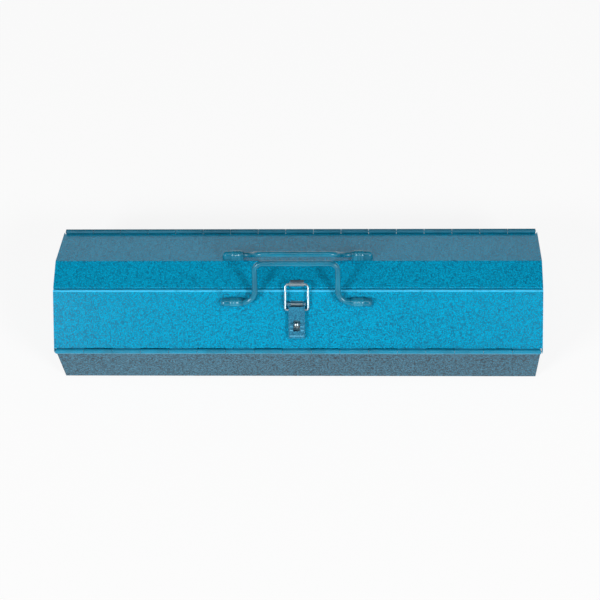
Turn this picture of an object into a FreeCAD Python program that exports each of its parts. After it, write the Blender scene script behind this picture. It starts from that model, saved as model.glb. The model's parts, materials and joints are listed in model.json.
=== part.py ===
import FreeCAD, Part
import math
import os

# A sheet-steel sewing box with a hexagonal section. Its lid is split along the
# length: each half turns on a piano hinge and carries a level tray out of the
# box on a parallel linkage. Millimetres, +Z up, +X along the box, front at -Y,
# origin at the middle of the box's foot.
#
# Each side is drawn in a section plane of its own: p runs inward from that
# side's hinge axis and q runs up from it. Slope distances are s up the lid's
# slope and n out from the hinge axis, at right angles to the slope.

# ---------------------------------------------------------------- sizes
LENGTH = 530.0            # over the lid cheeks
HINGE_HALF_SPAN = 74.2    # hinge axis to the middle of the box
HINGE_Z = 75.0            # height of both hinge axes
FLAT_HALF = 18.2          # half the width of the flat top
RISE = 35.0               # hinge axis to the flat top
SHEET = 0.8               # all folded sheet
FOOT_INSET = 3.0          # how far the long walls lean in at the foot

# named clearances
SPLIT_GAP = 1.2           # between the two lids
SPLIT_LIP = 1.9           # flat lip of the front lid, fold to split
CHEEK_GAP = 1.2           # lid cheek to body end wall
SIDE_GAP = 1.6            # link plates to body end wall
TRAY_GAP = 1.5            # tray end to link plates
COLLAR_GAP = 0.3          # side play of every link on its rivet
PIN_FIT = 0.06            # radial, turning pivots
OPEN_PIVOT_FIT = 0.25     # radial, the one slack pivot of each linkage
KNUCKLE_GAP = 0.4         # between neighbouring hinge knuckles
CATCH_GAP = 0.45          # loop roller to the catch, at rest

# piano hinges
KNUCKLES = 17
BARREL_R = 2.75
HINGE_PIN_R = 1.25
LEAF_WIDTH = 14.0

# lids
FLANGE_DROP = 7.0         # turned-down flange on each side of the split
CHEEK_DROP = 6.0          # cheek overlap below the hinge axis
FOLD_R = 1.4              # outer radius of the long folds
HEM_R = 1.0               # outer radius along the split

# linkage, (p, q)
FRONT_PIVOT_IN = 18.4     # bracket pivot outward from the tray's inner wall
BACK_PIVOT_IN = 45.6
FRONT_PIVOT_Q = -10.0
BACK_PIVOT_Q = -12.0
ARM_OFFSET = (12.0, -12.0)    # hinge axis to the arm's pivot on the body
LINK_SHEET = 1.5
LINK_PIN_R = 1.6
BRACKET_TIP_R = 4.0
BRACKET_FOOT = 14.0       # along the slope
BRACKET_FLANGE = 8.0      # along X
ARM_HALF = 2.8
ARM_END_R = 3.4
RIVET_HEAD_R = 2.8
RIVET_HEAD = 0.7

# trays, (p, q)
TRAY_TOP = -2.0
TRAY_FLOOR = -28.0
TRAY_OUTER_TOP = 16.0
TRAY_OUTER_FOOT = 22.0
TRAY_TO_SPLIT = 1.6       # front tray's inner wall outward from the split
TRAYS_APART = 5.4         # between the two inner walls
TRAY_LEAN = 0.8           # lean of the inner tray wall
HEM = 0.8                 # extra thickness of a folded rim
HEM_DEPTH = 3.5
DIVIDER_FOOT = 6.0
DIVIDER_GAP = 0.5         # long divider to the cross dividers
FRONT_DIVIDERS = (-150.0, -20.0, 110.0)
BACK_DIVIDERS = (-90.0, 90.0)
LONG_DIVIDER_P = 54.0

# handles
ROD_R = 3.0
HANDLE_HALF = 44.6        # middle of the box to a leg's centre line
HANDLE_FOOT_BEND = 14.0   # centre line, leg to turned-out end
HANDLE_GRIP_BEND = 9.0    # centre line, leg to grip
HANDLE_LEG = 46.5         # pivot axis to the bar's centre line
HANDLE_END = 78.0         # rod end, from the middle of the box
CLIP_INNER = 59.0
CLIP_OUTER = 82.0
CLIP_BASE = 1.2
CLIP_WALL = 1.25
CLIP_LEDGE = 0.4          # base plate beyond the saddle, along the slope
CLIP_FIT = 0.08           # radial, rod in its clip
ROD_LIFT = 1.75           # rod above the panel's outer face
FRONT_HANDLE_DOWN = 12.1  # pivot down the slope from the fold
BACK_HANDLE_DOWN = 5.4
FRONT_HANDLE_TILT = 53.7  # degrees, legs above horizontal at rest
BACK_HANDLE_TILT = 62.4

# latch; lengths run down the front slope from the split, heights are out
# from the panel's outer face
LEVER_HALF = 8.75
LEVER_SHEET = 1.0
LEVER_LENGTH = 34.1
LEVER_TOP_DOWN = 17.0
LEVER_HEIGHT = 6.0
LEVER_EAR_R = 2.6
LEVER_PIVOT_DOWN = 14.0
LEVER_PIVOT_LIFT = 4.5
BASE_LENGTH = 37.6
BASE_TOP_DOWN = 11.0
LATCH_PIN_R = 1.25
LOOP_PIVOT_DOWN = 20.2
LOOP_PIVOT_LIFT = 4.0
LOOP_HALF = 12.3          # centre line of the loop's side wires
WIRE_R = 1.2
LOOP_BEND = 3.6
ROLLER_R = 2.1
ROLLER_HALF = 8.0
BAR_HEIGHT = 8.5          # roller's centre above the flat top
SLOT_DOWN = 31.6
SLOT_LENGTH = 11.7
SLOT_HALF = 3.6
STAPLE_IN_SLOT = 3.8      # staple's middle from the slot's upper end
STAPLE_SHEET = 2.0
STAPLE_HALF = 3.1
STAPLE_HEIGHT = 13.0
STAPLE_HOLE_R = 1.8
LUG_LENGTH = 1.8
LUG_STEP = 4.3
LUG_RISE = 1.0
LIP_UP = 2.0              # lever's end to the finger rib
LIP_LENGTH = 1.4
CATCH_HALF = 7.4
CATCH_SHEET = 1.0
CATCH_SETBACK = 2.8       # tongue back from the edge of the flat top
CATCH_DEPTH = 6.4
CATCH_RIVET_X = 4.4
CATCH_RIVET_IN = 2.4      # rivets from the plate's back edge
CATCH_HEAD_R = 2.3

# ---------------------------------------------------------------- derived
HALF = LENGTH / 2.0
CHEEK_IN = HALF - SHEET
END_OUT = CHEEK_IN - CHEEK_GAP
END_IN = END_OUT - SHEET
LINK_OUT = END_IN - SIDE_GAP
LINK_IN = LINK_OUT - LINK_SHEET
TRAY_END = LINK_IN - TRAY_GAP
LEAF_IN = -BARREL_R
PANEL_IN = LEAF_IN + SHEET
PANEL_OUT = PANEL_IN + SHEET
EDGE_START = BARREL_R + 0.6
RUN = HINGE_HALF_SPAN - FLAT_HALF
SLOPE = math.atan2(RISE, RUN) + math.asin(-PANEL_OUT / math.hypot(RUN, RISE))
SLOPE_LENGTH = math.sqrt(RUN ** 2 + RISE ** 2 - PANEL_OUT ** 2)
LEAN = math.atan2(FOOT_INSET, HINGE_Z)
FLAT_END = HINGE_HALF_SPAN + FLAT_HALF - SPLIT_GAP - SPLIT_LIP
FRONT_TRAY_INNER = RUN - TRAY_TO_SPLIT
BACK_TRAY_INNER = 2.0 * HINGE_HALF_SPAN - FRONT_TRAY_INNER - TRAYS_APART
FRONT_A = (FRONT_TRAY_INNER - FRONT_PIVOT_IN, FRONT_PIVOT_Q)
BACK_A = (BACK_TRAY_INNER - BACK_PIVOT_IN, BACK_PIVOT_Q)
CLIP_R = ROD_R + CLIP_FIT + CLIP_WALL
CLIP_RIVETS = (CLIP_INNER + 6.0, CLIP_INNER + 16.0)
PIVOT_LIFT = ROD_R + ROD_LIFT
FRONT_HANDLE_S = SLOPE_LENGTH - FRONT_HANDLE_DOWN
BACK_HANDLE_S = SLOPE_LENGTH - BACK_HANDLE_DOWN
LEVER_TOP = SLOPE_LENGTH - LEVER_TOP_DOWN
LEVER_LOW = LEVER_TOP - LEVER_LENGTH
LEVER_PIVOT = (SLOPE_LENGTH - LEVER_PIVOT_DOWN, LEVER_PIVOT_LIFT)
LOOP_PIVOT = (SLOPE_LENGTH - LOOP_PIVOT_DOWN, LOOP_PIVOT_LIFT)
BASE_TOP = SLOPE_LENGTH - BASE_TOP_DOWN
SLOT_TOP = SLOPE_LENGTH - SLOT_DOWN
SLOT_LOW = SLOT_TOP - SLOT_LENGTH
STAPLE_S = SLOT_TOP - STAPLE_IN_SLOT
FRONT = -1
BACK = 1
X_AXIS = FreeCAD.Vector(1, 0, 0)
Z_AXIS = FreeCAD.Vector(0, 0, 1)
ORIGIN = FreeCAD.Vector(0, 0, 0)


# ---------------------------------------------------------------- sections
def on_slope(s, n):
    """(p, q) of a point s up the slope and n out from the hinge axis."""
    return (
        s * math.cos(SLOPE) - n * math.sin(SLOPE),
        s * math.sin(SLOPE) + n * math.cos(SLOPE),
    )


def on_wall(s, n):
    """(p, q) of a point s down the long wall and n out from the axis."""
    return (
        s * math.sin(LEAN) - n * math.cos(LEAN),
        -s * math.cos(LEAN) - n * math.sin(LEAN),
    )


def on_panel(s, m):
    """(p, q) of a point s up the slope and m out from the panel's face."""
    return on_slope(s, PANEL_OUT + m)


def slope_pos(point):
    """(s, n) of a section point."""
    p, q = point
    return (
        p * math.cos(SLOPE) + q * math.sin(SLOPE),
        q * math.cos(SLOPE) - p * math.sin(SLOPE),
    )


def vector(side, x, point):
    """The box position of a section point at X = x."""
    p, q = point
    return FreeCAD.Vector(x, side * (HINGE_HALF_SPAN - p), HINGE_Z + q)


def prism(side, points, x0, x1):
    """A closed section run along X from x0 to x1."""
    ring = [vector(side, x0, point) for point in points]
    face = Part.Face(Part.makePolygon(ring + ring[:1]))
    return face.extrude(X_AXIS * (x1 - x0))


def round_bar(side, point, radius, x0, x1):
    """A round bar along X."""
    return Part.makeCylinder(radius, x1 - x0, vector(side, x0, point), X_AXIS)


def slope_block(s0, s1, m0, m1, x0, x1, side=FRONT):
    """A block square to the lid panel."""
    corners = [on_panel(s0, m0), on_panel(s1, m0), on_panel(s1, m1), on_panel(s0, m1)]
    return prism(side, corners, x0, x1)


def slope_post(side, s, m0, m1, x, radius):
    """A round post standing square to the lid panel."""
    low = vector(side, x, on_panel(s, m0))
    high = vector(side, x, on_panel(s, m1))
    return Part.makeCylinder(radius, (high - low).Length, low, high - low)


def fuse(shapes):
    """One solid from several, without seams."""
    return shapes[0].fuse(shapes[1:]).removeSplitter()


def mirrored(shape):
    """The shape at the other end of the box."""
    return shape.mirror(ORIGIN, X_AXIS)


def with_mirror(shape):
    """The shape and its mirror image, fused."""
    return fuse([shape, mirrored(shape)])


def pair(shapes):
    """Separate solids kept in one node."""
    return Part.makeCompound(shapes + [mirrored(shape) for shape in shapes])


def long_edges(shape, side, point):
    """Edges along X that lie on one section point."""
    target = vector(side, 0.0, point)
    found = []
    for edge in shape.Edges:
        ends = [v.Point for v in edge.Vertexes]
        near = [e for e in ends if math.hypot(e.y - target.y, e.z - target.z) < 0.01]
        if len(ends) == 2 and len(near) == 2:
            found.append(edge)
    return found


def save(name, shape):
    """Write one node."""
    shape.exportStep("parts/" + name + ".step")


# ---------------------------------------------------------------- lower box
def arm_pivot():
    """(p, q) of the arm's pivot on the body's end wall."""
    return ARM_OFFSET


def body_shell():
    """The open lower box, with a rivet hole for each arm."""
    outer = []
    cavity = []
    for side in (FRONT, BACK):
        top = on_wall(EDGE_START, PANEL_OUT)
        foot = on_wall(HINGE_Z, PANEL_OUT)
        lip = on_wall(0.0, PANEL_IN)
        floor = on_wall(HINGE_Z - SHEET, PANEL_IN)
        outer.append([vector(side, -END_OUT, top), vector(side, -END_OUT, (foot[0], -HINGE_Z))])
        cavity.append([vector(side, -END_IN, lip), vector(side, -END_IN, (floor[0], SHEET - HINGE_Z))])
    solids = []
    for walls, length, radius in ((outer, END_OUT, 2.4), (cavity, END_IN, 1.6)):
        ring = walls[0] + walls[1][::-1] + walls[0][:1]
        block = Part.Face(Part.makePolygon(ring)).extrude(X_AXIS * (2.0 * length))
        floor_z = walls[0][1].z
        low = [e for e in block.Edges if max(v.Point.z for v in e.Vertexes) < floor_z + 0.01]
        solids.append(block.makeFillet(radius, low))
    shell = solids[0].cut(solids[1])
    for side in (FRONT, BACK):
        shell = shell.cut(round_bar(side, arm_pivot(), LINK_PIN_R, -HALF, HALF))
    return shell


def hinge_leaf(side, place, odd, half_length):
    """A piano-hinge leaf: a strip with every second knuckle rolled from it."""
    strip = [place(EDGE_START, LEAF_IN), place(EDGE_START, PANEL_IN)]
    strip += [place(LEAF_WIDTH, PANEL_IN), place(LEAF_WIDTH, LEAF_IN)]
    root = [place(0.0, LEAF_IN), place(0.0, PANEL_IN)]
    root += [place(EDGE_START + 0.5, PANEL_IN), place(EDGE_START + 0.5, LEAF_IN)]
    pitch = 2.0 * END_OUT / KNUCKLES
    shapes = [prism(side, strip, -half_length, half_length)]
    for i in range(0 if odd else 1, KNUCKLES, 2):
        low = -END_OUT + i * pitch + KNUCKLE_GAP / 2.0
        high = low + pitch - KNUCKLE_GAP
        shapes.append(prism(side, root, low, high))
        shapes.append(round_bar(side, (0.0, 0.0), BARREL_R, low, high))
    leaf = fuse(shapes)
    return leaf.cut(round_bar(side, (0.0, 0.0), HINGE_PIN_R + PIN_FIT, -HALF, HALF))


def hinge_pin(side):
    """The hinge wire, through all the knuckles."""
    return round_bar(side, (0.0, 0.0), HINGE_PIN_R, -END_OUT - 0.3, END_OUT + 0.3)


# ---------------------------------------------------------------- lids
def lid_shell(side, tops):
    """A lid folded from one sheet: slope, flat top if any, flange and cheeks."""
    out = [on_slope(EDGE_START, PANEL_OUT)] + tops
    last = tops[-1]
    inside = []
    for i, point in enumerate(out):
        if i == 0:
            inside.append(on_slope(EDGE_START, PANEL_IN))
        elif point is last:
            inside.append((point[0] - SHEET, point[1] - SHEET))
        else:
            inside.append((point[0] + SHEET * math.tan(SLOPE / 2.0), point[1] - SHEET))
    hem = [(last[0], last[1] - FLANGE_DROP), (last[0] - SHEET, last[1] - FLANGE_DROP)]
    panel = prism(side, out + hem + inside[::-1], -HALF, HALF)
    cheek = out + [(last[0], -CHEEK_DROP), (0.8, -CHEEK_DROP), (0.8, -0.8)]
    shapes = [panel, prism(side, cheek, CHEEK_IN, HALF), prism(side, cheek, -HALF, -CHEEK_IN)]
    shell = fuse(shapes)
    for top in tops[:-1]:
        shell = shell.makeFillet(FOLD_R, long_edges(shell, side, top))
    return shell.makeFillet(HEM_R, long_edges(shell, side, last))


def bracket(side, pivot):
    """The plate that hangs the tray from the lid, with a welded foot."""
    s, n = slope_pos(pivot)
    half = BRACKET_FOOT / 2.0
    web = [on_slope(s - half, PANEL_IN), on_slope(s + half, PANEL_IN)]
    web += [on_slope(s + BRACKET_TIP_R, n), on_slope(s - BRACKET_TIP_R, n)]
    foot = [on_slope(s - half, PANEL_IN), on_slope(s + half, PANEL_IN)]
    foot += [on_slope(s + half, PANEL_IN - LINK_SHEET), on_slope(s - half, PANEL_IN - LINK_SHEET)]
    plate = prism(side, web, LINK_IN, LINK_OUT)
    tip = round_bar(side, pivot, BRACKET_TIP_R, LINK_IN, LINK_OUT)
    flange = prism(side, foot, LINK_IN - BRACKET_FLANGE, LINK_OUT)
    shape = fuse([plate, tip, flange])
    return shape.cut(round_bar(side, pivot, LINK_PIN_R + OPEN_PIVOT_FIT, 0.0, HALF))


# ---------------------------------------------------------------- linkage
def tray_pivot(pivot):
    """(p, q) of the arm's pivot on the tray."""
    return (pivot[0] + ARM_OFFSET[0], pivot[1] + ARM_OFFSET[1])


def arm(side, pivot):
    """The lower link, parallel to the line from the hinge to the bracket pivot."""
    start = arm_pivot()
    end = tray_pivot(pivot)
    length = math.hypot(end[0] - start[0], end[1] - start[1])
    across = (-(end[1] - start[1]) / length * ARM_HALF, (end[0] - start[0]) / length * ARM_HALF)
    web = [(start[0] + across[0], start[1] + across[1]), (end[0] + across[0], end[1] + across[1])]
    web += [(end[0] - across[0], end[1] - across[1]), (start[0] - across[0], start[1] - across[1])]
    shapes = [prism(side, web, LINK_IN, LINK_OUT)]
    for point in (start, end):
        shapes.append(round_bar(side, point, ARM_END_R, LINK_IN, LINK_OUT))
    shape = fuse(shapes)
    for point in (start, end):
        shape = shape.cut(round_bar(side, point, LINK_PIN_R + PIN_FIT, 0.0, HALF))
    return shape


def rivet(side, point, steps):
    """A rivet along X, turned from (radius, x0, x1) steps."""
    return fuse([round_bar(side, point, radius, x0, x1) for radius, x0, x1 in steps])


def body_rivet(side):
    """Rivet of an arm on the body's end wall."""
    play = COLLAR_GAP
    steps = [(RIVET_HEAD_R, END_OUT, END_OUT + RIVET_HEAD)]
    steps += [(LINK_PIN_R, LINK_IN - play, END_OUT)]
    steps += [(RIVET_HEAD_R, LINK_OUT + play, END_IN)]
    steps += [(RIVET_HEAD_R, LINK_IN - play - RIVET_HEAD, LINK_IN - play)]
    return rivet(side, arm_pivot(), steps)


def tray_rivet(side, point):
    """Rivet of a link on the tray's end."""
    play = COLLAR_GAP
    inside = TRAY_END - SHEET
    steps = [(RIVET_HEAD_R, inside - RIVET_HEAD, inside)]
    steps += [(LINK_PIN_R, inside, LINK_OUT + play)]
    steps += [(RIVET_HEAD_R, TRAY_END, LINK_IN - play)]
    steps += [(RIVET_HEAD_R, LINK_OUT + play, LINK_OUT + play + RIVET_HEAD)]
    return rivet(side, point, steps)


# ---------------------------------------------------------------- trays
def tray_section(inner, inset, top, floor):
    """Section of a tray, or of the space inside it when inset."""
    outer_slope = (TRAY_OUTER_FOOT - TRAY_OUTER_TOP) / (TRAY_TOP - TRAY_FLOOR)
    inner_slope = TRAY_LEAN / (TRAY_TOP - TRAY_FLOOR)

    def outer_at(q):
        return TRAY_OUTER_TOP + (TRAY_TOP - q) * outer_slope + inset

    def inner_at(q):
        return inner - (TRAY_TOP - q) * inner_slope - inset

    return [(outer_at(top), top), (inner_at(top), top), (inner_at(floor), floor), (outer_at(floor), floor)]


def tray(side, inner, pivot):
    """An open tray with a folded rim and its four rivet holes."""
    block = prism(side, tray_section(inner, 0.0, TRAY_TOP, TRAY_FLOOR), -TRAY_END, TRAY_END)
    hem_floor = TRAY_TOP - HEM_DEPTH
    well = tray_section(inner, SHEET, hem_floor, TRAY_FLOOR + SHEET)
    mouth = tray_section(inner, SHEET + HEM, TRAY_TOP + 1.0, hem_floor - 0.1)
    half = TRAY_END - SHEET
    shape = block.cut(prism(side, well, -half, half))
    shape = shape.cut(prism(side, mouth, HEM - half, half - HEM))
    for point in (pivot, tray_pivot(pivot)):
        shape = shape.cut(round_bar(side, point, LINK_PIN_R, -HALF, HALF))
    return shape


def cross_divider(side, inner, x):
    """A plate across a tray, with a welded foot."""
    top = TRAY_TOP - HEM_DEPTH - 0.3
    floor = TRAY_FLOOR + SHEET
    plate = prism(side, tray_section(inner, SHEET, top, floor), x, x + SHEET)
    foot = prism(side, tray_section(inner, SHEET + 1.5, floor + SHEET, floor), x, x + DIVIDER_FOOT)
    return fuse([plate, foot])


def long_divider(side, p, x0, x1):
    """A plate along a tray, with a welded foot."""
    top = TRAY_TOP - HEM_DEPTH - 1.0
    floor = TRAY_FLOOR + SHEET
    plate = [(p, floor), (p + SHEET, floor), (p + SHEET, top), (p, top)]
    foot = [(p, floor), (p + DIVIDER_FOOT, floor), (p + DIVIDER_FOOT, floor + SHEET), (p, floor + SHEET)]
    return fuse([prism(side, plate, x0, x1), prism(side, foot, x0, x1)])


# ---------------------------------------------------------------- handles
def handle_rod(side, s, tilt):
    """A bent round bar: two turned-out ends, two legs and the grip."""
    pivot = on_panel(s, PIVOT_LIFT)
    lean = math.radians(tilt)
    up = vector(side, 0.0, (pivot[0] + math.cos(lean), pivot[1] + math.sin(lean)))
    base = vector(side, 0.0, pivot)
    up = up - base

    def at(x, height):
        return base + X_AXIS * x + up * height

    foot = HANDLE_FOOT_BEND
    grip = HANDLE_GRIP_BEND
    foot_diag = foot * (1.0 - math.sqrt(0.5))
    grip_diag = grip * (1.0 - math.sqrt(0.5))
    half = HANDLE_HALF
    leg = HANDLE_LEG
    right = [
        Part.makeLine(at(HANDLE_END, 0.0), at(half + foot, 0.0)),
        Part.Arc(at(half + foot, 0.0), at(half + foot_diag, foot_diag), at(half, foot)).toShape(),
        Part.makeLine(at(half, foot), at(half, leg - grip)),
        Part.Arc(at(half, leg - grip), at(half - grip_diag, leg - grip_diag), at(half - grip, leg)).toShape(),
        Part.makeLine(at(half - grip, leg), at(0.0, leg)),
    ]
    start = at(HANDLE_END, 0.0)
    ring = Part.Wire(Part.makeCircle(ROD_R, start, X_AXIS))
    half_rod = Part.Wire(right).makePipeShell([ring], True, False)
    return with_mirror(half_rod)


def handle_clip(side, s):
    """A pressed saddle that holds one rod end, with two rivets through the lid."""
    centre = on_panel(s, PIVOT_LIFT)
    dome = CLIP_OUTER - CLIP_R
    ledge = CLIP_R + CLIP_LEDGE
    shapes = [slope_block(s - ledge, s + ledge, 0.0, CLIP_BASE, CLIP_INNER, CLIP_OUTER - 1.0, side)]
    shapes.append(slope_block(s - CLIP_R, s + CLIP_R, 0.0, PIVOT_LIFT, CLIP_INNER, dome, side))
    shapes.append(round_bar(side, centre, CLIP_R, CLIP_INNER, dome))
    shapes.append(slope_post(side, s, 0.0, PIVOT_LIFT, dome, CLIP_R))
    shapes.append(Part.makeSphere(CLIP_R, vector(side, dome, centre)))
    for x in CLIP_RIVETS:
        shapes.append(slope_post(side, s, -SHEET, 0.2, x, LINK_PIN_R))
        shapes.append(slope_post(side, s, -SHEET - RIVET_HEAD, -SHEET, x, RIVET_HEAD_R))
    shape = fuse(shapes)
    return shape.cut(round_bar(side, centre, ROD_R + CLIP_FIT, 0.0, HANDLE_END + 0.6))


def clip_holes(side, s):
    """The rivet holes of both clips of one handle."""
    posts = []
    for x in CLIP_RIVETS:
        posts.append(slope_post(side, s, -3.0, 3.0, x, LINK_PIN_R))
        posts.append(slope_post(side, s, -3.0, 3.0, -x, LINK_PIN_R))
    return posts


# ---------------------------------------------------------------- latch
def latch_rivet_spots():
    """Where the latch base is riveted to the front lid."""
    return (BASE_TOP - BASE_LENGTH + 2.0, LEVER_PIVOT[0] - 13.4)


def latch_base():
    """Base plate with two ears for the lever's pin."""
    half = LEVER_HALF - LEVER_SHEET - 0.6
    s, m = LEVER_PIVOT
    ear_r = LEVER_EAR_R
    shapes = [slope_block(BASE_TOP - BASE_LENGTH, BASE_TOP, 0.0, LEVER_SHEET, -half, half)]
    ear = slope_block(s - ear_r, s + ear_r, 0.0, m, half - LEVER_SHEET, half)
    tip = round_bar(FRONT, on_panel(s, m), ear_r, half - LEVER_SHEET, half)
    shapes += [ear, tip, mirrored(ear), mirrored(tip)]
    plate = fuse(shapes)
    plate = plate.cut(round_bar(FRONT, on_panel(s, m), LATCH_PIN_R + PIN_FIT, -HALF, HALF))
    for spot in latch_rivet_spots():
        plate = plate.cut(slope_post(FRONT, spot, -3.0, 3.0, 0.0, LINK_PIN_R))
    return plate


def latch_rivet(spot):
    """A flat-headed rivet through the base and the lid."""
    top = LEVER_SHEET
    shapes = [slope_post(FRONT, spot, -SHEET, top, 0.0, LINK_PIN_R)]
    shapes.append(slope_post(FRONT, spot, top, top + RIVET_HEAD, 0.0, RIVET_HEAD_R))
    shapes.append(slope_post(FRONT, spot, -SHEET - RIVET_HEAD, -SHEET, 0.0, RIVET_HEAD_R))
    return fuse(shapes)


def latch_staple():
    """Padlock eye standing on the base, through the lever's slot."""
    s0 = STAPLE_S - STAPLE_SHEET / 2.0
    s1 = STAPLE_S + STAPLE_SHEET / 2.0
    eye = STAPLE_HEIGHT - STAPLE_HALF
    low = vector(FRONT, 0.0, on_panel(s0, eye))
    along = vector(FRONT, 0.0, on_panel(s1, eye)) - low
    foot = slope_block(s0 - 4.0, s1, LEVER_SHEET, LEVER_SHEET + 1.0, -STAPLE_HALF, STAPLE_HALF)
    post = slope_block(s0, s1, LEVER_SHEET, eye, -STAPLE_HALF, STAPLE_HALF)
    head = Part.makeCylinder(STAPLE_HALF, STAPLE_SHEET, low, along)
    hole = Part.makeCylinder(STAPLE_HOLE_R, 3.0 * STAPLE_SHEET, low - along, along)
    return fuse([foot, post, head]).cut(hole)


def latch_lever():
    """Channel-shaped lever with a slot, four lugs and a finger rib."""
    s, m = LEVER_PIVOT
    height = LEVER_HEIGHT
    thick = LEVER_SHEET
    half = LEVER_HALF
    ear_r = LEVER_EAR_R
    skirt = thick + 0.6
    lug_in = SLOT_HALF + 0.6
    lug_out = half - thick - 0.3
    lip_low = LEVER_LOW + LIP_UP
    shapes = [slope_block(LEVER_LOW, LEVER_TOP, height - thick, height, -half, half)]
    flank = slope_block(LEVER_LOW + 2.0, LEVER_TOP, skirt, height, half - thick, half)
    neck = slope_block(LEVER_TOP - 1.0, s, m - ear_r, m + ear_r, half - thick, half)
    tip = round_bar(FRONT, on_panel(s, m), ear_r, half - thick, half)
    root = height - 0.5
    crest = height + LUG_RISE
    for piece in (flank, neck, tip):
        shapes += [piece, mirrored(piece)]
    for low in (SLOT_LOW, SLOT_LOW + LUG_STEP):
        lug = slope_block(low, low + LUG_LENGTH, root, crest, lug_in, lug_out)
        shapes += [lug, mirrored(lug)]
    shapes.append(slope_block(lip_low, lip_low + LIP_LENGTH, root, crest, -lug_out, lug_out))
    lever = fuse(shapes)
    lever = lever.cut(slope_block(SLOT_LOW, SLOT_TOP, 0.0, 20.0, -SLOT_HALF, SLOT_HALF))
    lever = lever.cut(round_bar(FRONT, on_panel(s, m), LATCH_PIN_R + PIN_FIT, -HALF, HALF))
    wire = on_panel(LOOP_PIVOT[0], LOOP_PIVOT[1])
    return lever.cut(round_bar(FRONT, wire, WIRE_R + PIN_FIT, -HALF, HALF))


def latch_pin():
    """Lever pin with a small head at each end."""
    point = on_panel(LEVER_PIVOT[0], LEVER_PIVOT[1])
    end = LEVER_HALF + COLLAR_GAP
    shaft = round_bar(FRONT, point, LATCH_PIN_R, -end, end)
    head = round_bar(FRONT, point, LATCH_PIN_R + 0.6, end, end + RIVET_HEAD)
    return fuse([shaft, head, mirrored(head)])


def loop_bar():
    """(p, q) of the loop's bar: just in front of the catch, at rest."""
    y = -FLAT_HALF + SPLIT_LIP + SPLIT_GAP + CATCH_SETBACK - CATCH_GAP - ROLLER_R
    return (HINGE_HALF_SPAN + y, RISE + BAR_HEIGHT)


def latch_loop():
    """Wire loop: two in-turned ends, two sides and the bar."""
    low = vector(FRONT, 0.0, on_panel(LOOP_PIVOT[0], LOOP_PIVOT[1]))
    high = vector(FRONT, 0.0, loop_bar())
    length = (high - low).Length
    up = (high - low).normalize()
    bend = LOOP_BEND
    diag = bend * (1.0 - math.sqrt(0.5))
    end = LEVER_HALF - LEVER_SHEET - 0.5
    small = 2.0
    dip = small * (1.0 - math.sqrt(0.5))

    def at(x, height):
        return low + X_AXIS * x + up * height

    half = LOOP_HALF
    path = [
        Part.makeLine(at(end, 0.0), at(half - small, 0.0)),
        Part.Arc(at(half - small, 0.0), at(half - dip, dip), at(half, small)).toShape(),
        Part.makeLine(at(half, small), at(half, length - bend)),
        Part.Arc(at(half, length - bend), at(half - diag, length - diag), at(half - bend, length)).toShape(),
        Part.makeLine(at(half - bend, length), at(0.0, length)),
    ]
    ring = Part.Wire(Part.makeCircle(WIRE_R, at(end, 0.0), X_AXIS))
    return with_mirror(Part.Wire(path).makePipeShell([ring], True, False))


def loop_roller():
    """Sleeve on the loop's bar."""
    sleeve = round_bar(FRONT, loop_bar(), ROLLER_R, -ROLLER_HALF, ROLLER_HALF)
    return sleeve.cut(round_bar(FRONT, loop_bar(), WIRE_R + PIN_FIT, -HALF, HALF))


def catch_rivet_spots():
    """Feet of the catch's rivets, on the flat top's outer face."""
    p = FLAT_END - CATCH_SETBACK - CATCH_DEPTH + CATCH_RIVET_IN
    return [vector(BACK, x, (p, RISE)) for x in (-CATCH_RIVET_X, CATCH_RIVET_X)]


def latch_catch():
    """Upright tongue on the edge of the flat top, with two rivets."""
    front = FLAT_END - CATCH_SETBACK
    back = front - CATCH_DEPTH
    top = RISE + BAR_HEIGHT
    section = [(front, RISE), (front, top), (front - CATCH_SHEET, top)]
    section += [(front - CATCH_SHEET, RISE + CATCH_SHEET), (back, RISE + CATCH_SHEET), (back, RISE)]
    shapes = [prism(BACK, section, -CATCH_HALF, CATCH_HALF)]
    for spot in catch_rivet_spots():
        under = spot - Z_AXIS * SHEET
        shapes.append(Part.makeCylinder(LINK_PIN_R, SHEET + CATCH_SHEET, under, Z_AXIS))
        shapes.append(Part.makeCylinder(CATCH_HEAD_R, RIVET_HEAD, under, -Z_AXIS))
        shapes.append(Part.makeCylinder(CATCH_HEAD_R, RIVET_HEAD, spot + Z_AXIS * CATCH_SHEET, Z_AXIS))
    return fuse(shapes)


def catch_holes():
    """Rivet holes of the catch in the flat top."""
    return [Part.makeCylinder(LINK_PIN_R, 6.0, spot - Z_AXIS * 3.0, Z_AXIS) for spot in catch_rivet_spots()]


# ---------------------------------------------------------------- the box
os.makedirs("parts", exist_ok=True)
save("body_shell", body_shell())
save("body_arm_rivets", pair([body_rivet(FRONT), body_rivet(BACK)]))

SIDES = (
    ("front", FRONT, FRONT_A, FRONT_TRAY_INNER, FRONT_HANDLE_S, FRONT_HANDLE_TILT),
    ("back", BACK, BACK_A, BACK_TRAY_INNER, BACK_HANDLE_S, BACK_HANDLE_TILT),
)
for label, side, pivot, inner, handle_s, tilt in SIDES:
    save(label + "_hinge_body_leaf", hinge_leaf(side, on_wall, False, END_IN - 0.5))
    save(label + "_hinge_lid_leaf", hinge_leaf(side, on_slope, True, END_OUT))
    save(label + "_hinge_pin", hinge_pin(side))
    plate = bracket(side, pivot)
    save(label + "_bracket_right", plate)
    save(label + "_bracket_left", mirrored(plate))
    link = arm(side, pivot)
    save(label + "_arm_right", link)
    save(label + "_arm_left", mirrored(link))
    save(label + "_tray", tray(side, inner, pivot))
    save(label + "_tray_rivets", pair([tray_rivet(side, pivot), tray_rivet(side, tray_pivot(pivot))]))
    save(label + "_handle_rod", handle_rod(side, handle_s, tilt))
    clip = handle_clip(side, handle_s)
    save(label + "_handle_clip_right", clip)
    save(label + "_handle_clip_left", mirrored(clip))

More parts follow.
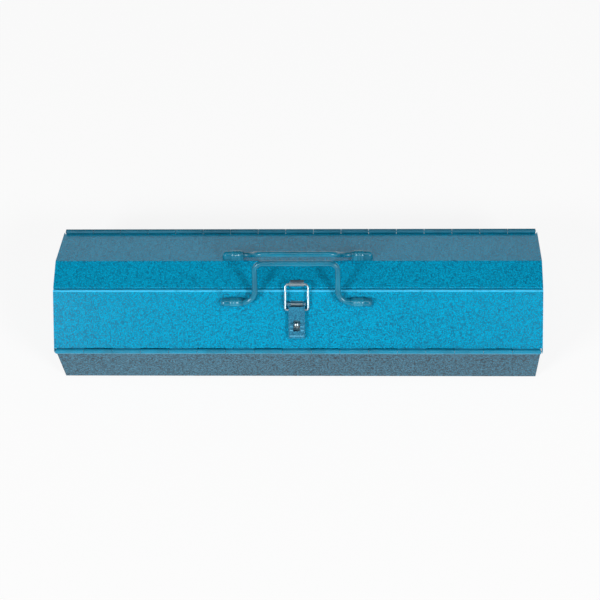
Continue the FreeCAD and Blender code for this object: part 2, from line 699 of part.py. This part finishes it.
front_lid = lid_shell(FRONT, [(RUN, RISE), (RUN + SPLIT_LIP, RISE)])
for hole in clip_holes(FRONT, FRONT_HANDLE_S):
    front_lid = front_lid.cut(hole)
for spot in latch_rivet_spots():
    front_lid = front_lid.cut(slope_post(FRONT, spot, -3.0, 3.0, 0.0, LINK_PIN_R))
save("front_lid_shell", front_lid)

back_lid = lid_shell(BACK, [(RUN, RISE), (FLAT_END, RISE)])
for hole in clip_holes(BACK, BACK_HANDLE_S) + catch_holes():
    back_lid = back_lid.cut(hole)
save("back_lid_shell", back_lid)

for i, x in enumerate(FRONT_DIVIDERS):
    save("front_tray_divider_" + str(i + 1), cross_divider(FRONT, FRONT_TRAY_INNER, x))
for i, x in enumerate(BACK_DIVIDERS):
    save("back_tray_divider_" + str(i + 1), cross_divider(BACK, BACK_TRAY_INNER, x))
long_start = BACK_DIVIDERS[0] + DIVIDER_FOOT + DIVIDER_GAP
long_end = BACK_DIVIDERS[1] - DIVIDER_GAP
save("back_tray_long_divider", long_divider(BACK, LONG_DIVIDER_P, long_start, long_end))

save("latch_base", latch_base())
save("latch_rivets", Part.makeCompound([latch_rivet(spot) for spot in latch_rivet_spots()]))
save("latch_staple", latch_staple())
save("latch_lever", latch_lever())
save("latch_pin", latch_pin())
save("latch_loop", latch_loop())
save("latch_loop_roller", loop_roller())
save("latch_catch", latch_catch())
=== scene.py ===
"""Looks of a sheet-steel sewing box with trays: enamel, plating, studio and camera."""

import json
import logging
import math
from dataclasses import dataclass
from enum import Enum
from typing import Any, Mapping, Union

import bpy
import numpy as np
from mathutils import Matrix, Vector


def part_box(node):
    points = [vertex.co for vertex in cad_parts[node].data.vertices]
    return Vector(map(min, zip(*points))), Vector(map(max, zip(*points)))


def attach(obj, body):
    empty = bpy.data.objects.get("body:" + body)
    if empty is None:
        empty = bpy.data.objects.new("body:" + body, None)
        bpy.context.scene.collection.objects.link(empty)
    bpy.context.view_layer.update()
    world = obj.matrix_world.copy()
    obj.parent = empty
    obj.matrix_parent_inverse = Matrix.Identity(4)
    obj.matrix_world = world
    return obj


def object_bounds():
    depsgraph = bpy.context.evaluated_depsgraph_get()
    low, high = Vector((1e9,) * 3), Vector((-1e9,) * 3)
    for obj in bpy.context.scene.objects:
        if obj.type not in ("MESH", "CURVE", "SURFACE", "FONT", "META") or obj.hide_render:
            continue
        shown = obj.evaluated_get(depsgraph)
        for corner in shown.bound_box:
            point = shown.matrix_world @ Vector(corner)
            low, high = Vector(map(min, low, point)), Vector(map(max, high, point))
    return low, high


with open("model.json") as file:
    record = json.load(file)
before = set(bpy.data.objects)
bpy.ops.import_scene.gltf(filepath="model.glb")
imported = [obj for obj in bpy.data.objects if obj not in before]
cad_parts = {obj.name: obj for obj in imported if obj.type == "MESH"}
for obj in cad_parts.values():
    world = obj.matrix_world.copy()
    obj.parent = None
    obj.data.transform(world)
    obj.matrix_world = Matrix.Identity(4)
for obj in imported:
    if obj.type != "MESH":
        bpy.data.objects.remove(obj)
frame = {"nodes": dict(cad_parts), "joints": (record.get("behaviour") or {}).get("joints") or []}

log = logging.getLogger("sewing_box")

Number = Union[int, float]
Colour = tuple[float, float, float]

CAD_LOW, CAD_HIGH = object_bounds()

# Lengths are in metres.
SLOPE = math.radians(33.0)            # both lids' slopes, above the level
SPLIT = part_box("front_lid_shell")[1]  # the front lid's high corner, on the line where the lids meet
FOLD_SETBACK = 0.0019                 # from the split forward to the front fold
LIP_SETBACK = 0.0007                  # from the split forward to the painted highlight on the flat lip
RIB_LIFT = 0.0025                     # the lever's ribs above its pin's axis
RIB_STEPS = (0.0284, 0.0241, 0.0344)  # the lever's ribs, down the slope from its pin


# --------------------------------------------------------------------- places
def axis_of(joint: str) -> tuple[float, float]:
    """Find where a joint's axis runs.

    Args:
        joint: the joint's name.

    Returns:
        Its y and z, in metres.
    """
    row = next(row for row in frame["joints"] if row["name"] == joint)
    _, y, z = row["pos_m"]
    return y, z


def on_front_slope(start: tuple[float, float], down: float, lift: float) -> tuple[float, float]:
    """Step from a point down the front slope, and then square away from the slope.

    Args:
        start: where to begin, as y and z.
        down: how far to go down the slope.
        lift: how far to go out from it.

    Returns:
        The point's y and z, in metres.
    """
    y = start[0] - down * math.cos(SLOPE) - lift * math.sin(SLOPE)
    z = start[1] - down * math.sin(SLOPE) + lift * math.cos(SLOPE)
    return y, z


# ------------------------------------------------------------------ shader kit
class Wire:
    """A node's output socket that can be written into sums and products."""

    def __init__(self, shop: "Shop", socket: bpy.types.NodeSocket) -> None:
        """Keep the socket and the tree it lives in."""
        self.shop = shop
        self.socket = socket

    def _maths(self, operation: str, *terms: Union["Wire", Number]) -> "Wire":
        """Add one Math node.

        Args:
            operation: the Math node's operation.
            terms: its inputs, in order.

        Returns:
            The node's result.
        """
        return self.shop.add("ShaderNodeMath", {"operation": operation}, dict(enumerate(terms)))

    def __add__(self, other: Union["Wire", Number]) -> "Wire":
        """Sum."""
        return self._maths("ADD", self, other)

    def __radd__(self, other: Number) -> "Wire":
        """Sum with a number on the left."""
        return self._maths("ADD", other, self)

    def __sub__(self, other: Union["Wire", Number]) -> "Wire":
        """Difference."""
        return self._maths("SUBTRACT", self, other)

    def __rsub__(self, other: Number) -> "Wire":
        """Difference with a number on the left."""
        return self._maths("SUBTRACT", other, self)

    def __mul__(self, other: Union["Wire", Number]) -> "Wire":
        """Product."""
        return self._maths("MULTIPLY", self, other)

    def __rmul__(self, other: Number) -> "Wire":
        """Product with a number on the left."""
        return self._maths("MULTIPLY", other, self)

    def __pow__(self, other: Union["Wire", Number]) -> "Wire":
        """Power."""
        return self._maths("POWER", self, other)

    def least(self, other: Union["Wire", Number]) -> "Wire":
        """The smaller of two."""
        return self._maths("MINIMUM", self, other)

    def ramp(self, low: Number, high: Number) -> "Wire":
        """0 below low, 1 above high, smooth between; low may be the larger."""
        settings = {"interpolation_type": "SMOOTHSTEP", "clamp": True}
        if low < high:
            return self.shop.add("ShaderNodeMapRange", settings, {0: self, 1: low, 2: high})
        return 1.0 - self.shop.add("ShaderNodeMapRange", settings, {0: self, 1: high, 2: low})


class Shop:
    """One material's node tree and the hand that adds nodes to it."""

    def __init__(self, name: str) -> None:
        """Start an empty material with its shader and output.

        Args:
            name: the material's name.
        """
        self.material = bpy.data.materials.new(name)
        self.material.use_nodes = True
        self.tree = self.material.node_tree
        self.tree.nodes.clear()
        self.shader = self.tree.nodes.new("ShaderNodeBsdfPrincipled")
        output = self.tree.nodes.new("ShaderNodeOutputMaterial")
        self.tree.links.new(self.shader.outputs["BSDF"], output.inputs["Surface"])
        self.place = self.add("ShaderNodeTexCoord", {}, {}, "Object")

    def add(
        self,
        kind: str,
        settings: Mapping[str, Any],
        inputs: Mapping[Union[int, str], Any],
        output: Union[int, str] = 0,
    ) -> Wire:
        """Add any node.

        Args:
            kind: the node's type.
            settings: its properties, set before its sockets.
            inputs: a value or a Wire for each named or numbered socket.
            output: the socket to return.

        Returns:
            The chosen output.
        """
        node = self.tree.nodes.new(kind)
        for key, value in settings.items():
            setattr(node, key, value)
        for key, value in inputs.items():
            self.feed(node.inputs[key], value)
        return Wire(self, node.outputs[output])

    def feed(self, socket: bpy.types.NodeSocket, value: Any) -> None:
        """Link a Wire to a socket, or set the socket to a value."""
        if isinstance(value, Wire):
            self.tree.links.new(value.socket, socket)
        elif isinstance(value, tuple) and len(value) == 3 and len(socket.default_value) == 4:
            socket.default_value = (*value, 1.0)
        else:
            socket.default_value = value

    def set(self, **sockets: Any) -> None:
        """Feed the shader's sockets, named with _ for a space."""
        for name, value in sockets.items():
            self.feed(self.shader.inputs[name.replace("_", " ")], value)

    def axes(self) -> tuple[Wire, Wire, Wire]:
        """The x, y and z of a point, in metres."""
        split = self.tree.nodes.new("ShaderNodeSeparateXYZ")
        self.feed(split.inputs[0], self.place)
        return tuple(Wire(self, out) for out in split.outputs)

    def stretched(self, x: float, y: float, z: float) -> Wire:
        """The place, scaled along each axis."""
        return self.add("ShaderNodeMapping", {}, {"Vector": self.place, "Scale": (x, y, z)})

    def noise(
        self,
        scale: float,
        detail: float = 2.0,
        rough: float = 0.5,
        at: Union[Wire, None] = None,
    ) -> Wire:
        """Fractal noise from 0 to 1.

        Args:
            scale: lumps per metre.
            detail: how many finer layers are added.
            rough: how strong the finer layers are.
            at: where to look it up, the point itself if left out.

        Returns:
            The noise.
        """
        inputs = {"Vector": at or self.place, "Scale": scale, "Detail": detail, "Roughness": rough}
        return self.add("ShaderNodeTexNoise", {}, inputs, "Fac")

    def dimples(self, scale: float) -> Wire:
        """Distance to the nearest of many scattered points, in cells, smoothed."""
        inputs = {"Vector": self.place, "Scale": scale}
        return self.add("ShaderNodeTexVoronoi", {"feature": "SMOOTH_F1"}, inputs, "Distance")

    def blend(self, factor: Union[Wire, float], low: Any, high: Any) -> Wire:
        """Mix two colours."""
        settings = {"data_type": "RGBA", "clamp_factor": True}
        return self.add("ShaderNodeMix", settings, {0: factor, 6: low, 7: high}, 2)

    def bump(self, height: Wire, strength: float, depth: float) -> Wire:
        """A bumped normal; depth is the height of 1, in metres."""
        return self.add("ShaderNodeBump", {}, {"Height": height, "Strength": strength, "Distance": depth})


# ------------------------------------------------------------------- finishes
@dataclass(frozen=True)
class HammerEnamel:
    """Hammered enamel: small smooth dimples with darker pigment between them.

    dimple is the distance between dimples and depth their depth. The lines along x,
    listed as (y, z), get a painted highlight: the paint is lightened as far as reach.
    Edges are the noise values between which a mark fades in, and shares are
    how much each mark darkens the paint.
    """

    name: str
    colour: Colour
    deep: Colour
    dimple: float = 0.0015
    depth: float = 0.00008
    bump: float = 0.8
    roughness: float = 0.20
    roughness_swing: float = 0.10
    shine: float = 0.35
    wobbles_per_dimple: float = 0.35
    grains_per_dimple: float = 1.9
    drift_scale: float = 7.0
    grain_weight: float = 0.8
    dimple_weight: float = 0.4
    relief: float = 0.6
    fleck_edges: tuple[float, float] = (0.44, 0.70)
    drift_edges: tuple[float, float] = (0.35, 0.70)
    fleck_share: float = 0.90
    drift_share: float = 0.08
    wobble_share: float = 0.02
    highlight_lines: tuple[tuple[float, float], ...] = ()
    reach: float = 0.0017
    full_reach: float = 0.35
    ragged_scale: float = 140.0
    ragged_edges: tuple[float, float] = (0.15, 0.50)
    highlight_strength: float = 0.85
    highlight_gain: float = 1.25
    highlight_lift: float = 0.06

    def material(self) -> bpy.types.Material:
        """Build the enamel.

        Returns:
            The finished material.
        """
        shop = Shop(self.name)
        drift = shop.noise(self.drift_scale, detail=3.0)
        wobble = shop.noise(self.wobbles_per_dimple / self.dimple)
        dimples = shop.dimples(1.0 / self.dimple)
        grain = shop.noise(self.grains_per_dimple / self.dimple, detail=1.0)
        fleck = (grain * self.grain_weight + dimples * self.dimple_weight).ramp(*self.fleck_edges)
        marks = fleck * self.fleck_share + drift.ramp(*self.drift_edges) * self.drift_share
        base = shop.blend(marks + wobble * self.wobble_share, self.colour, self.deep)
        if self.highlight_lines:
            base = shop.blend(self._painted_highlight(shop), base, self._highlight_colour())
        shop.set(
            Base_Color=base,
            Roughness=self.roughness + (fleck + wobble - 0.5) * self.roughness_swing,
            Specular_IOR_Level=self.shine,
            Normal=shop.bump((dimples + grain) * self.relief, self.bump, self.depth),
        )
        return shop.material

    def _highlight_colour(self) -> Colour:
        """The paler colour of the painted highlight."""
        return tuple(min(1.0, self.highlight_gain * part + self.highlight_lift) for part in self.colour)

    def _painted_highlight(self, shop: Shop) -> Wire:
        """How strong the painted highlight is, from the distance to the nearest highlight line.

        Full strength within full_reach of reach, fading to none at reach, and
        broken up by noise.

        Args:
            shop: the material being built.

        Returns:
            0 for plain paint, up to the highlight's full strength.
        """
        _, y, z = shop.axes()
        near = None
        for line_y, line_z in self.highlight_lines:
            gap = ((y - line_y) ** 2.0 + (z - line_z) ** 2.0) ** 0.5
            near = gap if near is None else near.least(gap)
        ragged = shop.noise(self.ragged_scale, detail=4.0, rough=0.65).ramp(*self.ragged_edges)
        return near.ramp(self.reach, self.full_reach * self.reach) * ragged * self.highlight_strength


@dataclass(frozen=True)
class PlainEnamel:
    """Smooth enamel with orange peel, slow drifts of shade and fine specks."""

    name: str
    colour: Colour
    deep: Colour
    roughness: float = 0.30
    roughness_swing: float = 0.14
    coat: float = 0.6
    coat_roughness: float = 0.10
    peel_scale: float = 620.0
    drift_scale: float = 45.0
    speck_scale: float = 1500.0
    drift_edges: tuple[float, float] = (0.35, 0.68)
    speck_edges: tuple[float, float] = (0.45, 0.70)
    drift_share: float = 0.5
    speck_share: float = 0.3
    speck_height: float = 0.4
    bump: float = 0.6
    depth: float = 0.00003

    def material(self) -> bpy.types.Material:
        """Build the enamel.

        Returns:
            The finished material.
        """
        shop = Shop(self.name)
        orange_peel = shop.noise(self.peel_scale)
        drift = shop.noise(self.drift_scale, detail=4.0, rough=0.6)
        speck = shop.noise(self.speck_scale, detail=1.0)
        cloudy = drift.ramp(*self.drift_edges) * self.drift_share
        specked = speck.ramp(*self.speck_edges) * self.speck_share
        shop.set(
            Base_Color=shop.blend(cloudy + specked, self.colour, self.deep),
            Roughness=self.roughness + drift * self.roughness_swing,
            Coat_Weight=self.coat,
            Coat_Roughness=self.coat_roughness,
            Normal=shop.bump(orange_peel + speck * self.speck_height, self.bump, self.depth),
        )
        return shop.material


@dataclass(frozen=True)
class BrightPlate:
    """Bright plating over pressed steel, with faint drawing lines, clouding and pits.

    lines is how many drawing lines fit in a metre along x, y and z.
    """

    name: str
    colour: Colour
    cloud: Colour
    roughness: float = 0.26
    cloud_roughness: float = 0.12
    line_roughness: float = 0.08
    lines: tuple[float, float, float] = (900.0, 60.0, 60.0)
    cloud_scale: float = 120.0
    pit_scale: float = 1400.0
    cloud_edges: tuple[float, float] = (0.40, 0.72)
    pit_edges: tuple[float, float] = (0.60, 0.75)
    cloud_share: float = 0.7
    pit_share: float = 0.3
    relief: float = 0.5
    bump: float = 0.3
    depth: float = 0.00004

    def material(self) -> bpy.types.Material:
        """Build the plating.

        Returns:
            The finished material.
        """
        shop = Shop(self.name)
        drawn = shop.noise(1.0, detail=3.0, rough=0.6, at=shop.stretched(*self.lines))
        cloudy = shop.noise(self.cloud_scale, detail=4.0, rough=0.6)
        pits = shop.noise(self.pit_scale)
        clouded = cloudy.ramp(*self.cloud_edges) * self.cloud_share
        pitted = pits.ramp(*self.pit_edges) * self.pit_share
        shop.set(
            Base_Color=shop.blend(clouded + pitted, self.colour, self.cloud),
            Metallic=1.0,
            Roughness=self.roughness + cloudy * self.cloud_roughness + drawn * self.line_roughness,
            Normal=shop.bump((drawn + cloudy) * self.relief, self.bump, self.depth),
        )
        return shop.material


class Finish(Enum):
    """Every finish of the box."""

    LID = HammerEnamel(
        "lid_hammered_enamel",
        (0.0, 0.450, 0.745),
        (0.0, 0.140, 0.265),
        # painted highlight: pale paint along the front fold and the lip by the split stands in for light
        # caught on the folded edge
        highlight_lines=((SPLIT.y - FOLD_SETBACK, SPLIT.z), (SPLIT.y - LIP_SETBACK, SPLIT.z)),
    )
    # painted shade: the lower box is a darker, greyer copy of the lid's blue, standing in for the shade on
    # its walls
    BOX_PAINTED_SHADE = HammerEnamel(
        "box_enamel_painted_shade",
        (0.052, 0.215, 0.325),
        (0.004, 0.022, 0.038),
        dimple=0.0020,
        shine=0.1,
    )
    TRAY = HammerEnamel("tray_hammered_enamel", (0.004, 0.300, 0.500), (0.004, 0.130, 0.240))
    LEVER = HammerEnamel(
        "lever_hammered_enamel",
        (0.045, 0.310, 0.490),
        (0.015, 0.100, 0.190),
        # painted highlight: pale paint along the lever's ribs stands in for light caught on them
        highlight_lines=tuple(on_front_slope(axis_of("latch_lever_swing"), step, RIB_LIFT) for step in RIB_STEPS),
        reach=0.0012,
    )
    HINGE = PlainEnamel(
        "front_hinge_enamel",
        (0.006, 0.290, 0.480),
        (0.010, 0.150, 0.240),
        roughness=0.28,
        coat=0.1,
    )
    # painted shade: the back hinge is a darker copy of the front hinge's blue, standing in for the shade on
    # the back of the box
    BACK_HINGE_PAINTED_SHADE = PlainEnamel(
        "back_hinge_enamel_painted_shade",
        (0.003, 0.160, 0.260),
        (0.003, 0.080, 0.140),
        roughness=0.36,
        coat=0.0,
    )
    HANDLE = PlainEnamel(
        "handle_enamel",
        (0.002, 0.225, 0.365),
        (0.003, 0.105, 0.180),
        roughness=0.20,
        coat=0.25,
    )
    BAND = PlainEnamel(
        "band_enamel",
        (0.008, 0.270, 0.420),
        (0.006, 0.170, 0.280),
        roughness=0.16,
        coat=0.4,
    )
    # painted reflection: the cyan tint of the bright plate and the teal of the base plate stand in for the
    # blue enamel mirrored in the metal
    PLATE = BrightPlate("latch_bright_plate", (0.44, 0.55, 0.60), (0.28, 0.39, 0.45))
    BASE = BrightPlate("latch_base_plate", (0.16, 0.34, 0.44), (0.10, 0.24, 0.33))
    LINK = BrightPlate("link_plate", (0.58, 0.59, 0.60), (0.42, 0.43, 0.44), roughness=0.30)
    RIVET = BrightPlate("rivet_steel", (0.62, 0.62, 0.63), (0.40, 0.40, 0.42), roughness=0.24)


class Finisher:
    """Builds each finish once and hands it out."""

    def __init__(self) -> None:
        """Start with an empty rack."""
        self.rack: dict[Finish, bpy.types.Material] = {}

    def get(self, finish: Finish) -> bpy.types.Material:
        """The material of a finish, made when first asked for."""
        if finish not in self.rack:
            self.rack[finish] = finish.value.material()
        return self.rack[finish]

    def dress(self, node: str, finish: Finish) -> None:
        """Give one CAD node a finish.

        Args:
            node: the CAD node's name.
            finish: what it is finished in.
        """
        piece = frame["nodes"][node]
        piece.data.materials.clear()
        piece.data.materials.append(self.get(finish))
        log.info("%s: %s", node, self.get(finish).name)


# --------------------------------------------------------------- new surfaces
def closed_tube(name: str, rings: np.ndarray) -> bpy.types.Object:
    """A tube from a grid of points, its two ends closed by flat caps.

    Args:
        name: the object's name.
        rings: points as (ring, point round the ring, xyz), in metres.

    Returns:
        The object, faces outward.
    """
    along, around, _ = rings.shape
    here = np.arange(along * around).reshape(along, around)
    onward = np.roll(here, -1, axis=1)
    quads = np.stack([here[:-1], onward[:-1], onward[1:], here[1:]], axis=-1).reshape(-1, 4)
    middle = rings.mean(axis=(0, 1))
    corners = rings.reshape(-1, 3)[quads]
    normals = np.cross(corners[:, 1] - corners[:, 0], corners[:, 2] - corners[:, 0])
    if np.sum(normals * (corners.mean(axis=1) - middle)) < 0.0:
        quads = quads[:, ::-1]
        caps = [here[0].tolist(), here[-1][::-1].tolist()]
    else:
        caps = [here[0][::-1].tolist(), here[-1].tolist()]
    mesh = bpy.data.meshes.new(name)
    mesh.from_pydata(rings.reshape(-1, 3).tolist(), [], quads.tolist() + caps)
    mesh.polygons.foreach_set("use_smooth", [True] * len(quads) + [False, False])
    mesh.update()
    piece = bpy.data.objects.new(name, mesh)
    bpy.context.scene.collection.objects.link(piece)
    return piece


# --------------------------------------------------------------- sub-assemblies
@dataclass
class Assembly:
    """CAD nodes that belong together, each with its finish."""

    finisher: Finisher

    def finishes(self) -> dict[str, Finish]:
        """The finish of every CAD node of the assembly."""
        return {}

    def build(self) -> None:
        """Make the pieces that the CAD doesn't have."""

    def dress(self) -> None:
        """Finish every node of the assembly."""
        for node, finish in self.finishes().items():
            self.finisher.dress(node, finish)


@dataclass
class LowerBox(Assembly):
    """The open lower box with the fixed halves of both piano hinges."""

    def finishes(self) -> dict[str, Finish]:
        """Painted steel with bright pins."""
        return {
            "body_shell": Finish.BOX_PAINTED_SHADE,
            "body_arm_rivets": Finish.RIVET,
            "front_hinge_body_leaf": Finish.HINGE,
            "back_hinge_body_leaf": Finish.BACK_HINGE_PAINTED_SHADE,
            "front_hinge_pin": Finish.RIVET,
            "back_hinge_pin": Finish.RIVET,
        }


@dataclass
class Lid(Assembly):
    """One lid with its hinge leaf, brackets and arms."""

    side: str

    def finishes(self) -> dict[str, Finish]:
        """Painted lid and leaf, plated links."""
        nodes = {
            self.side + "_lid_shell": Finish.LID,
            self.side + "_hinge_lid_leaf": Finish.HINGE if self.side == "front" else Finish.BACK_HINGE_PAINTED_SHADE,
        }
        for end in ("left", "right"):
            nodes[self.side + "_bracket_" + end] = Finish.LINK
            nodes[self.side + "_arm_" + end] = Finish.LINK
        return nodes


@dataclass
class TraySet(Assembly):
    """One tray with its rivets and dividers."""

    side: str

    def finishes(self) -> dict[str, Finish]:
        """Painted sheet, bright rivets."""
        nodes = [node for node in frame["nodes"] if node.startswith(self.side + "_tray")]
        return {node: Finish.RIVET if "rivet" in node else Finish.TRAY for node in nodes}


@dataclass
class Handle(Assembly):
    """One handle with its clips and a crimped band over each clip's inner end.

    Lengths are in metres; around and along count a band's points.
    """

    side: str
    clip_radius: float = 0.00433
    lift: float = 0.00475
    band_start: float = 0.0612
    band_length: float = 0.0108
    proud: float = 0.00045
    ridge: float = 0.0003
    ridges: float = 3.0
    edge_length: float = 0.0006
    edge_drop: float = 0.00045
    sunk: float = 0.0003
    leg_share: float = 0.22
    around: int = 96
    along: int = 73

    def finishes(self) -> dict[str, Finish]:
        """Smooth paint throughout."""
        nodes = ("_handle_clip_left", "_handle_clip_right", "_handle_rod")
        return {self.side + node: Finish.HANDLE for node in nodes}

    def build(self) -> None:
        """Make both bands."""
        for end, sign in (("left", -1.0), ("right", 1.0)):
            band = closed_tube(self.side + "_handle_band_" + end, self._rings(sign))
            band.data.materials.append(self.finisher.get(Finish.BAND))
            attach(band, self.side + "_lid")
            log.info("%s: %d faces", band.name, len(band.data.polygons))

    def _rings(self, sign: float) -> np.ndarray:
        """Points of one band: an arch standing on the lid, ribbed along its length.

        At u of the way along, the arch's radius is clip_radius plus proud plus
        ridge times the squared sine of pi ridges u, less a quarter round of
        edge_drop within edge_length of either end. A ring is a half circle over
        two straight legs, each leg_share of its points, that go down past the
        lid's sheet by sunk.

        Args:
            sign: 1 for the right-hand end, -1 for the left.

        Returns:
            Points as (ring, point, xyz).
        """
        u = np.linspace(0.0, 1.0, self.along)[:, None]
        t = np.linspace(0.0, 1.0, self.around)[None, :]
        edge = np.clip(np.minimum(u, 1.0 - u) * self.band_length / self.edge_length, 0.0, 1.0)
        fall = self.edge_drop * (1.0 - np.sqrt(1.0 - (1.0 - edge) ** 2))
        ribs = self.ridge * np.sin(math.pi * self.ridges * u) ** 2
        radius = self.clip_radius + self.proud + ribs - fall
        legs = self.leg_share
        angle = math.pi * np.clip((t - legs) / (1.0 - 2.0 * legs), 0.0, 1.0)
        first_leg = np.clip(1.0 - t / legs, 0.0, 1.0)
        last_leg = np.clip((t - 1.0 + legs) / legs, 0.0, 1.0)
        across = radius * np.cos(angle)
        above = radius * np.sin(angle) - (self.lift + self.sunk) * (first_leg + last_leg)
        facing = -1.0 if self.side == "front" else 1.0
        axis_y, axis_z = axis_of(self.side + "_handle_swing")
        x = sign * (self.band_start + self.band_length * u) + 0.0 * t
        y = axis_y + facing * (across * math.cos(SLOPE) + above * math.sin(SLOPE))
        z = axis_z - across * math.sin(SLOPE) + above * math.cos(SLOPE)
        return np.stack([x, y, z], axis=-1)


@dataclass
class Latch(Assembly):
    """The pull latch: base, lever, wire loop and catch."""

    def finishes(self) -> dict[str, Finish]:
        """Painted lever on plated fittings."""
        return {
            "latch_base": Finish.BASE,
            "latch_rivets": Finish.RIVET,
            "latch_staple": Finish.PLATE,
            "latch_lever": Finish.LEVER,
            "latch_pin": Finish.PLATE,
            "latch_loop": Finish.PLATE,
            "latch_loop_roller": Finish.PLATE,
            "latch_catch": Finish.PLATE,
        }


@dataclass(frozen=True)
class SoftBox:
    """A soft light aimed at the middle of the box; place and size in metres, power in watts."""

    name: str
    place: tuple[float, float, float]
    size: tuple[float, float]
    power: float
    aim: tuple[float, float, float] = (0.0, 0.0, 0.07)

    def build(self) -> None:
        """Hang the light."""
        lamp = bpy.data.lights.new(self.name, "AREA")
        lamp.shape = "RECTANGLE"
        lamp.size, lamp.size_y = self.size
        lamp.energy = self.power
        light = bpy.data.objects.new(self.name, lamp)
        light.location = self.place
        beam = Vector(self.aim) - Vector(self.place)
        light.rotation_euler = beam.to_track_quat("-Z", "Y").to_euler()
        bpy.context.scene.collection.objects.link(light)


@dataclass
class Studio:
    """A pale glowing floor, three soft lights and a dim room that is brighter round the horizon.

    The room's light falls from horizon to zenith between the heights fade_low
    and fade_high, as parts of straight up.
    """

    floor_half: float = 3.0
    floor_drop: float = 0.0004
    floor_colour: Colour = (0.10, 0.10, 0.10)
    floor_roughness: float = 0.9
    floor_shine: float = 0.1
    floor_glow: float = 0.88
    mottle_scale: float = 3.0
    mottle_share: float = 0.3
    mottle_shade: float = 0.985
    horizon: float = 0.50
    zenith: float = 0.05
    fade_low: float = 0.12
    fade_high: float = 0.45
    lights: tuple[SoftBox, ...] = (
        SoftBox("left_box", (-1.65, -1.60, 1.95), (0.80, 0.80), 42.0),
        SoftBox("right_box", (1.65, -1.60, 1.95), (0.80, 0.80), 44.0),
        SoftBox("overhead", (0.0, -0.18, 2.30), (1.20, 0.55), 6.5),
    )

    def build(self) -> None:
        """Make the floor, the lights and the room, and show colours as they are."""
        self._floor()
        for light in self.lights:
            light.build()
        self._room()
        bpy.context.scene.view_settings.view_transform = "Standard"

    def _floor(self) -> None:
        """A square floor at the foot of the box."""
        half = self.floor_half
        low = CAD_LOW.z - self.floor_drop
        corners = np.array([(-half, -half, low), (half, -half, low), (half, half, low), (-half, half, low)])
        mesh = bpy.data.meshes.new("floor")
        mesh.from_pydata(corners.tolist(), [], [(0, 1, 2, 3)])
        floor = bpy.data.objects.new("floor", mesh)
        bpy.context.scene.collection.objects.link(floor)
        shop = Shop("floor_paper")
        mottle = shop.noise(self.mottle_scale) * self.mottle_share
        darker = tuple(part * self.mottle_shade for part in self.floor_colour)
        shop.set(
            Base_Color=shop.blend(mottle, self.floor_colour, darker),
            Roughness=self.floor_roughness,
            Specular_IOR_Level=self.floor_shine,
            Emission_Color=(1.0, 1.0, 1.0),
            Emission_Strength=self.floor_glow,
        )
        mesh.materials.append(shop.material)

    def _room(self) -> None:
        """The room's white light, its strength set by the height looked at."""
        world = bpy.data.worlds.new("room")
        world.use_nodes = True
        tree = world.node_tree
        back = tree.nodes["Background"]
        back.inputs["Color"].default_value = (1.0, 1.0, 1.0, 1.0)
        coordinate = tree.nodes.new("ShaderNodeTexCoord")
        split = tree.nodes.new("ShaderNodeSeparateXYZ")
        fade = tree.nodes.new("ShaderNodeMapRange")
        fade.inputs["From Min"].default_value = self.fade_low
        fade.inputs["From Max"].default_value = self.fade_high
        fade.inputs["To Min"].default_value = self.horizon
        fade.inputs["To Max"].default_value = self.zenith
        tree.links.new(coordinate.outputs["Generated"], split.inputs[0])
        tree.links.new(split.outputs["Z"], fade.inputs["Value"])
        tree.links.new(fade.outputs[0], back.inputs["Strength"])
        bpy.context.scene.world = world


@dataclass
class Viewpoint:
    """The camera: its place in metres, its turns in degrees, its lens and sensor in millimetres."""

    place: tuple[float, float, float] = (0.0831, -0.8934, 1.8239)
    heading: float = -5.25
    down: float = 63.15
    roll: float = -4.69
    lens: float = 107.07
    sensor: float = 36.0

    def build(self) -> None:
        """Make the scene's camera."""
        heading = math.radians(self.heading)
        down = math.radians(self.down)
        roll = math.radians(self.roll)
        level = Vector((math.cos(heading), -math.sin(heading), 0.0))
        forward = Vector((math.sin(heading), math.cos(heading), 0.0))
        ahead = forward * math.cos(down) - Vector((0.0, 0.0, math.sin(down)))
        above = level.cross(ahead)
        right = level * math.cos(roll) + above * math.sin(roll)
        up = above * math.cos(roll) - level * math.sin(roll)
        data = bpy.data.cameras.new("camera")
        data.lens = self.lens
        data.sensor_width = self.sensor
        camera = bpy.data.objects.new("camera", data)
        turn = Matrix((right, up, -ahead)).transposed()
        camera.matrix_world = Matrix.Translation(self.place) @ turn.to_4x4()
        bpy.context.scene.collection.objects.link(camera)
        bpy.context.scene.camera = camera


# ------------------------------------------------------------------------ main
def assemblies(finisher: Finisher) -> list[Assembly]:
    """List the box's sub-assemblies.

    Args:
        finisher: where finishes come from.

    Returns:
        Every assembly, in the order it is made.
    """
    return [
        LowerBox(finisher),
        Lid(finisher, "front"),
        Lid(finisher, "back"),
        TraySet(finisher, "front"),
        TraySet(finisher, "back"),
        Handle(finisher, "front"),
        Handle(finisher, "back"),
        Latch(finisher),
    ]


def main() -> None:
    """Build and dress the box, then set the studio and the camera."""
    logging.basicConfig(level=logging.INFO, format="%(name)s: %(message)s")
    finisher = Finisher()
    for assembly in assemblies(finisher):
        assembly.build()
        assembly.dress()
        log.info("%s is dressed", type(assembly).__name__)
    Studio().build()
    Viewpoint().build()


if __name__ == "__main__":
    main()
